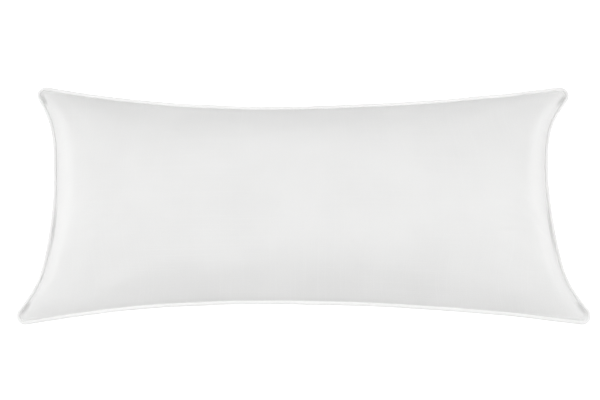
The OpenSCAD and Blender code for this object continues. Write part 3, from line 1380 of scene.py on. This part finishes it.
@dataclass
class CordedEdge:
    """The piping: a bias strip folded over a twisted cord, with two legs sewn into the seam."""

    seam: SeamPath
    radius: float = 2.8 * MM
    strip_t: float = 0.4 * MM
    slack: float = 0.2 * MM
    allowance: float = 8 * MM
    half_gap: float = 0.05 * MM
    spacing: float = 3.4 * MM
    outer_sides: int = 16
    inner_sides: int = 11
    tightness: float = 0.02
    fine_pucker: Ripple = Ripple(0.035, 160.0)
    broad_pucker: Ripple = Ripple(0.02, 60.0)
    waver: Ripple = Ripple(0.12 * MM, 45.0, (5.0, 0.0, 0.0))
    lay: float = 13 * MM
    cord_spacing: float = 2.2 * MM
    strands: int = 3
    strand_share: float = 0.464

    def section(self) -> list[tuple[float, float]]:
        """Draw the strip's section.

        Returns:
            Its points, each as the distance outwards from the seam and the height.
        """
        leg = self.half_gap + self.strip_t
        inner = self.radius - self.strip_t
        points = [(-self.allowance, -leg), (-self.allowance / 3, -leg)]
        for count, reach, height, way in ((self.outer_sides, self.radius, leg, 1),
                                          (self.inner_sides, inner, self.half_gap, -1)):
            start = math.asin(height / reach)
            arc = [start + (TURN - 2 * start) * k / count for k in range(count + 1)]
            ring = [(self.radius - reach * math.cos(a), -reach * math.sin(a)) for a in arc]
            points += ring if way > 0 else ring[::-1]
            if way > 0:
                points += [(-self.allowance / 3, leg), (-self.allowance, leg),
                           (-self.allowance, self.half_gap)]
        return points + [(-self.allowance, -self.half_gap)]

    def cover(self, name: str) -> bpy.types.Object:
        """Sweep the strip round the seam, slightly gathered over the cord.

        Args:
            name: the piece's name.

        Returns:
            The piece.
        """
        trip = self.seam.round_trip(self.spacing)
        section = self.section()
        feet = [self.seam.place(*at) for at in trip]
        outs = [self.seam.outward(*at) for at in trip]
        run = [self.seam.distance(*at) for at in trip] + [self.seam.perimeter()]
        girth = [0.0]
        for a, b in zip(section, section[1:] + section[:1]):
            girth.append(girth[-1] + math.dist(a, b))

        def place(i: int, j: int) -> Vector:
            """Return a point of the strip.

            Args:
                i: the station round the seam.
                j: the point of the section.

            Returns:
                The point.
            """
            i, j = i % len(trip), j % len(section)
            out, up = section[j]
            if out > 0:
                pucker = self.fine_pucker.at(feet[i]) + self.broad_pucker.at(feet[i])
                full = 1 + pucker - self.tightness
                out, up = out * full, up * full + self.waver.at(feet[i])
            return feet[i] + out * outs[i] + up * UP

        bm = bmesh.new()
        made = lay_grid(bm, len(trip), len(section), place, lambda i, j: (run[i], girth[j]))
        bmesh.ops.remove_doubles(bm, verts=made, dist=1e-7)
        return new_piece(name, bm)

    def filler(self, name: str) -> bpy.types.Object:
        """Sweep the cord's three strands round each other.

        Args:
            name: the piece's name.

        Returns:
            The piece.
        """
        reach = self.radius - self.strip_t - self.slack
        strand = self.strand_share * reach
        count = round(self.seam.perimeter() / self.cord_spacing)
        trip = self.seam.even_trip(count)
        turns = round(self.seam.perimeter() / self.lay)
        bm = bmesh.new()
        for ply in range(self.strands):
            line = []
            for i, at in enumerate(trip):
                angle = TURN * (turns * i / count + ply / self.strands)
                line.append(self.seam.place(*at, self.radius + (reach - strand) * math.cos(angle),
                                            (reach - strand) * math.sin(angle)))
            lay_tube(bm, line, [UP] * count, [strand] * count, sides=6, closed=True)
        return new_piece(name, bm)


# ---- The sewing ----


@dataclass
class Sewing:
    """The threads: lockstitch rows through the layers, an overlock, and the closing stitches."""

    seam: SeamPath
    strip_z: float = 0.45 * MM
    stack_z: float = 1.26 * MM
    seam_line: float = -3.0 * MM
    cord_line: float = -1.6 * MM
    edge_line: float = -8.0 * MM
    rests: tuple[float, ...] = (0.0, 0.8, 1.0, 0.8)
    sunk: float = 0.9
    overlock_r: float = 0.16 * MM
    overlock_half_w: float = 1.75 * MM
    overlock_pitch: float = 2.6 * MM
    boxiness: float = 0.55
    clearance: float = 0.05 * MM
    closing_r: float = 0.2 * MM
    closing_count: int = 28
    closing_pitch: float = 6.5 * MM
    closing_length: float = 4 * MM
    closing_z: float = -1.75 * MM
    closing_dive: float = 0.7 * MM
    closing_out: float = -0.2 * MM
    closing_slant: float = 0.5 * MM

    def lockstitch(self, name: str, line: float, face: float, r: float,
                   pitch: float) -> bpy.types.Object:
        """Sew round the seam: a needle thread above the layers and a bobbin thread below them.

        Args:
            name: the piece's name.
            line: how far outside the seam the stitches lie.
            face: the height of the layers' outer faces.
            r: the thread's radius.
            pitch: the length of a stitch.

        Returns:
            The piece.
        """
        stitches = round(self.seam.perimeter() / pitch)
        trip = self.seam.even_trip(stitches * len(self.rests))
        heights = [face + r * (2 * rest - self.sunk) for rest in self.rests]
        bm = bmesh.new()
        for way in (-1, 1):
            points = [self.seam.place(*at, line, way * heights[i % len(heights)])
                      for i, at in enumerate(trip)]
            lay_tube(bm, points, [UP] * len(trip), [r] * len(trip), sides=5, closed=True)
        return new_piece(name, bm)

    def overlock(self, name: str) -> bpy.types.Object:
        """Wrap the raw edges of all the layers in a running loop.

        Args:
            name: the piece's name.

        Returns:
            The piece.
        """
        r, half_w, per_wrap = self.overlock_r, self.overlock_half_w, 8
        half_h = self.stack_z + r + self.clearance
        wraps = round(self.seam.perimeter() / self.overlock_pitch)
        trip = self.seam.even_trip(wraps * per_wrap)
        middle = self.edge_line - r - self.clearance + half_w
        line, lean = [], []
        for i, at in enumerate(trip):
            angle = TURN * i / per_wrap
            boxy = [math.copysign(abs(c) ** self.boxiness, c)
                    for c in (math.cos(angle), math.sin(angle))]
            line.append(self.seam.place(*at, middle + half_w * boxy[0], half_h * boxy[1]))
            out = self.seam.outward(*at)
            lean.append(Vector((-out.y, out.x, 0.0)))
        bm = bmesh.new()
        lay_tube(bm, line, lean, [r] * len(trip), sides=4, closed=True)
        return new_piece(name, bm)

    def closing(self, name: str) -> bpy.types.Object:
        """Sew the stuffing gap shut by hand, in the gutter below the piping at the right end.

        Args:
            name: the piece's name.

        Returns:
            The piece.
        """
        side = Side.RIGHT.value
        arcs = self.seam.sides[side]
        waist = arcs[0].length() + arcs[1].length()
        steps, tip = 8, 0.05
        bm = bmesh.new()
        for k in range(self.closing_count):
            middle = waist + (k - self.closing_count / 2 + 0.5) * self.closing_pitch
            start = middle - self.closing_length / 2
            line, radii = [], []
            for i in range(steps + 1):
                t = i / steps
                s = 2 * (start + t * self.closing_length) / self.seam.lengths[side] - 1
                dive = self.closing_dive * abs(2 * t - 1) ** 4
                out = self.closing_out + (0.5 - t) * self.closing_slant
                line.append(self.seam.place(side, s, out, self.closing_z + dive))
                radii.append(self.closing_r * math.sqrt(max(tip ** 2, 1 - abs(2 * t - 1) ** 6)))
            lay_tube(bm, line, [UP] * len(line), radii, sides=6, closed=False)
        return new_piece(name, bm)


# ---- The studio ----


@dataclass(frozen=True)
class Softbox:
    """A rectangular soft light: its name, place, size in metres and power."""

    name: str
    place: tuple[float, float, float]
    size: tuple[float, float]
    watts: float


@dataclass
class Studio:
    """A pale floor, two large soft lights at the ends, one overhead, and the camera.

    The focal length and the drift of the picture's middle are in units of which the picture's width
    holds frame_width.
    """

    target: Vector
    elevation: float = math.radians(74.0)
    distance: float = 1.339
    focal: float = 836.0
    drift: tuple[float, float] = (3.3, 1.1)
    frame_width: float = 600.0
    sensor_width: float = 36.0
    floor_half: float = 30.0
    floor_drop: float = 0.5 * MM
    floor_tone: float = 0.9
    floor_glow: float = 0.6
    surroundings: float = 0.315
    softboxes: tuple[Softbox, ...] = (
        Softbox("left_softbox", (-1.5, -0.1, 0.95), (1.0, 1.2), 9.0),
        Softbox("right_softbox", (1.5, -0.1, 0.95), (1.0, 1.2), 8.6),
        Softbox("overhead_softbox", (0.0, 0.0, 2.2), (1.8, 0.8), 20.8),
    )

    def floor(self) -> None:
        """Lay the floor just under the resting surface."""
        bm = bmesh.new()
        bmesh.ops.create_grid(bm, x_segments=1, y_segments=1, size=self.floor_half)
        bmesh.ops.translate(bm, verts=bm.verts, vec=(0, 0, -self.floor_drop))
        piece = new_piece("studio_floor", bm, outward=False)
        material = bpy.data.materials.new("floor_paper")
        material.use_nodes = True
        tree = material.node_tree
        shader = tree.nodes["Principled BSDF"]
        grain = cloud(tree, tree.nodes.new("ShaderNodeTexCoord").outputs["Object"], 3.0)
        link(tree, ranged(tree, grain, 0.3, 0.7, 0.9, 1.0), shader.inputs["Roughness"])
        shader.inputs["Base Color"].default_value = (*[self.floor_tone] * 3, 1)
        shader.inputs["Specular IOR Level"].default_value = 0.1
        shader.inputs["Emission Color"].default_value = (1, 1, 1, 1)
        shader.inputs["Emission Strength"].default_value = self.floor_glow
        piece.data.materials.append(material)

    def lights(self) -> None:
        """Hang the soft lights, each turned to the pillow, and set the pale surroundings."""
        scene = bpy.context.scene
        for box in self.softboxes:
            lamp = bpy.data.lights.new(box.name, "AREA")
            lamp.shape = "RECTANGLE"
            lamp.size, lamp.size_y = box.size
            lamp.energy = box.watts
            piece = bpy.data.objects.new(box.name, lamp)
            piece.location = box.place
            away = Vector(box.place) - self.target
            piece.rotation_euler = away.to_track_quat("Z", "Y").to_euler()
            scene.collection.objects.link(piece)
        world = bpy.data.worlds.new("surroundings")
        world.use_nodes = True
        background = world.node_tree.nodes["Background"]
        background.inputs["Color"].default_value = (1, 1, 1, 1)
        background.inputs["Strength"].default_value = self.surroundings
        scene.world = world
        scene.view_settings.view_transform = "Standard"

    def camera(self) -> None:
        """Set the camera on the near side, looking down at the pillow."""
        lens = bpy.data.cameras.new("camera")
        lens.sensor_width = self.sensor_width
        lens.lens = self.focal * lens.sensor_width / self.frame_width
        piece = bpy.data.objects.new("camera", lens)
        away = Vector((0.0, -math.cos(self.elevation), math.sin(self.elevation)))
        turn = away.to_track_quat("Z", "Y")
        scale = self.distance / self.focal
        aim = self.target + turn @ Vector((-self.drift[0] * scale, self.drift[1] * scale, 0.0))
        piece.location = aim + away * self.distance
        piece.rotation_euler = turn.to_euler()
        bpy.context.scene.collection.objects.link(piece)
        bpy.context.scene.camera = piece


# ---- Putting it together ----


class Slot(Enum):
    """The record's material slots."""

    PANEL = "panel_cotton"
    PIPING = "piping_cotton"
    CORD = "filler_cord"
    FIBRE = "loose_fibre"
    SEWING = "sewing_thread"
    OVERLOCK = "overlock_thread"


FINISHES: tuple[WovenCotton | SpunThread | LooseFibre, ...] = (
    WovenCotton("panel_cotton", colour=(0.86, 0.86, 0.855), shade=(0.62, 0.62, 0.615)),
    WovenCotton("piping_cotton", colour=(0.91, 0.91, 0.905), shade=(0.76, 0.76, 0.755),
                threads=2600.0, bias=math.pi / 4, rumple_depth=0.3 * MM),
    SpunThread("filler_cord", colour=(0.84, 0.82, 0.76), shade=(0.6, 0.57, 0.5), roughness=0.95,
               plies=420.0, depth=0.2 * MM),
    LooseFibre("loose_fibre", colour=(0.88, 0.88, 0.88), shade=(0.68, 0.68, 0.67), roughness=1.0),
    SpunThread("sewing_thread", colour=(0.88, 0.88, 0.87), shade=(0.62, 0.62, 0.6),
               roughness=0.7, sheen=0.1, plies=1500.0),
    SpunThread("overlock_thread", colour=(0.86, 0.86, 0.85), shade=(0.64, 0.64, 0.62),
               roughness=0.8, sheen=0.2, plies=1200.0),
)


def install(piece: bpy.types.Object, node: str, slot: Slot, material: bpy.types.Material) -> None:
    """Dress a piece, let it ride on the pillow's body and let it stand for its plain solid.

    Args:
        piece: the piece.
        node: the plain solid's name.
        slot: the material slot; not used.
        material: the finish.
    """
    piece.data.materials.clear()
    piece.data.materials.append(material)
    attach(piece, "root")
    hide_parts(node)
    LOG.info("%s: %d faces, stands for %s", piece.name, len(piece.data.polygons), node)


def main() -> None:
    """Build the pillow, dress it and set up the studio."""
    logging.basicConfig(level=logging.INFO, format="%(message)s")
    LOG.info("the frame has %d nodes", len(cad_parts))
    pulls = (51 * MM, 34.5 * MM, 45 * MM, 31.5 * MM)
    seam = SeamPath(pulls=pulls, sway=1.2 * MM, flare=4 * MM)
    case = PillowCase(seam)
    edge = CordedEdge(seam)
    sewing = Sewing(seam)
    effects = Effects()
    materials = {Slot(finish.name): finish.material(effects) for finish in FINISHES}

    filled = case.inflate(*case.sewn_flat())
    case.settle(filled)
    drafts = [case.rumpled(case.split(filled, under), under) for under in (False, True)]
    bpy.data.meshes.remove(filled)
    upper = case.panel("upper_panel_cloth", drafts[0])
    lower = case.panel("lower_panel_cloth", drafts[1])
    stuffing = case.filling("fibre_stuffing", drafts)
    cover = edge.cover("piping_strip")
    cord = edge.filler("piping_filler_cord")
    seam_row = sewing.lockstitch("seam_lockstitch", sewing.seam_line, sewing.stack_z,
                                 r=0.2 * MM, pitch=2.8 * MM)
    cord_row = sewing.lockstitch("cord_lockstitch", sewing.cord_line, sewing.strip_z,
                                 r=0.13 * MM, pitch=3.0 * MM)
    pieces = [
        (upper, "top_panel", Slot.PANEL), (lower, "bottom_panel", Slot.PANEL),
        (stuffing, "fill", Slot.FIBRE), (cover, "piping_cover", Slot.PIPING),
        (cord, "piping_cord", Slot.CORD), (seam_row, "seam_stitching", Slot.SEWING),
        (cord_row, "cord_stitching", Slot.SEWING),
        (sewing.overlock("overlock_loops"), "overlock_stitching", Slot.OVERLOCK),
        (sewing.closing("closing_slip_stitches"), "closing_stitching", Slot.SEWING),
    ]
    for piece, node, slot in pieces:
        install(piece, node, slot, materials[slot])
    seam.perimeter()

    low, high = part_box("piping_cover")
    studio = Studio(Vector(((low[0] + high[0]) / 2, (low[1] + high[1]) / 2, seam.height)))
    studio.floor()
    studio.lights()
    studio.camera()


if __name__ == "__main__":
    main()
